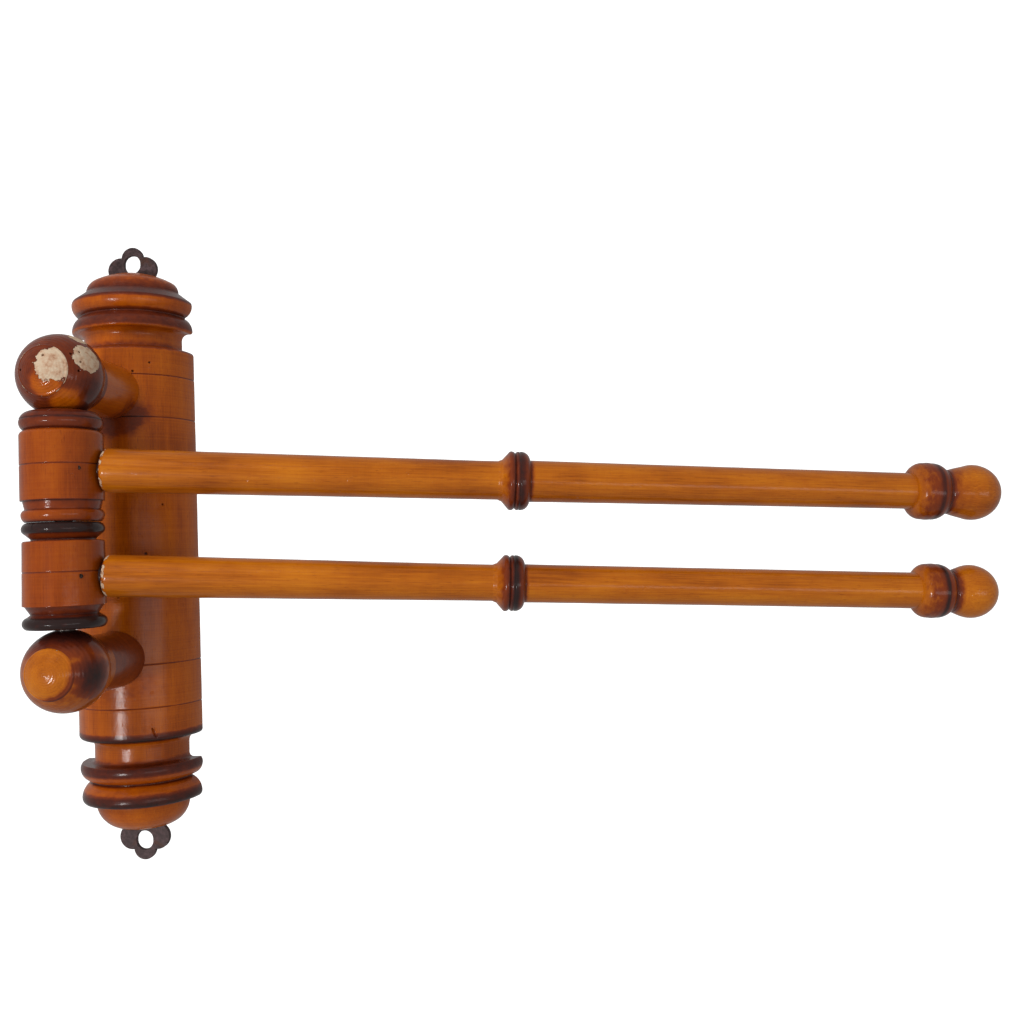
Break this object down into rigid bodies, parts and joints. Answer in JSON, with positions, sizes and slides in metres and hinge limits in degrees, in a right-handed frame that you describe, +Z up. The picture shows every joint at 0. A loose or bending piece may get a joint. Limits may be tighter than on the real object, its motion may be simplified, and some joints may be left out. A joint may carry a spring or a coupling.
{
  "type": "swing-arm towel rail",
  "caption": "Turned wooden wall rail: a half-round post with iron hanging plates, ball-ended pegs and hubs that carry two independent swinging arms.",
  "frame": {"origin": "on the flat back of the post, at the middle of its plain shaft", "axes": "+X along the wall, to the right as seen from the room; +Y into the wall; +Z up"},
  "size_m": [0.4757, 0.0993, 0.3285],
  "materials": {
    "post_wood": "amber gloss varnish over turned wood",
    "peg_wood": "dark worn varnish over turned wood",
    "hub_wood": "red-brown gloss varnish, dark rings",
    "arm_wood": "honey gloss varnish, dark collars",
    "iron": "dark brown patina",
    "screw_steel": "dull, lightly rusted",
    "axle_steel": "worn bright"
  },
  "bodies": {
    "wall_frame": {"wall_post": "post_wood", "upper_hanger": "iron", "lower_hanger": "iron", "upper_hanger_screws": "screw_steel", "lower_hanger_screws": "screw_steel", "upper_peg": "peg_wood", "lower_peg": "peg_wood", "upper_peg_screw": "screw_steel", "lower_peg_screw": "screw_steel", "axle_rod": "axle_steel"},
    "upper_swing": {"upper_hub": "hub_wood", "upper_arm": "arm_wood", "upper_arm_brad": "screw_steel"},
    "lower_swing": {"lower_hub": "hub_wood", "lower_arm": "arm_wood", "lower_arm_brad": "screw_steel"}
  },
  "joints": [
    {"name": "upper_arm_swing", "type": "hinge", "parent": "wall_frame", "child": "upper_swing", "pos_m": [0, -0.08, 0.0351], "axis": [0, 0, 1], "range_deg": [-197.4, 0]},
    {"name": "lower_arm_swing", "type": "hinge", "parent": "wall_frame", "child": "lower_swing", "pos_m": [0, -0.08, -0.015], "axis": [0, 0, 1], "range_deg": [-197.6, 0]}
  ]
}
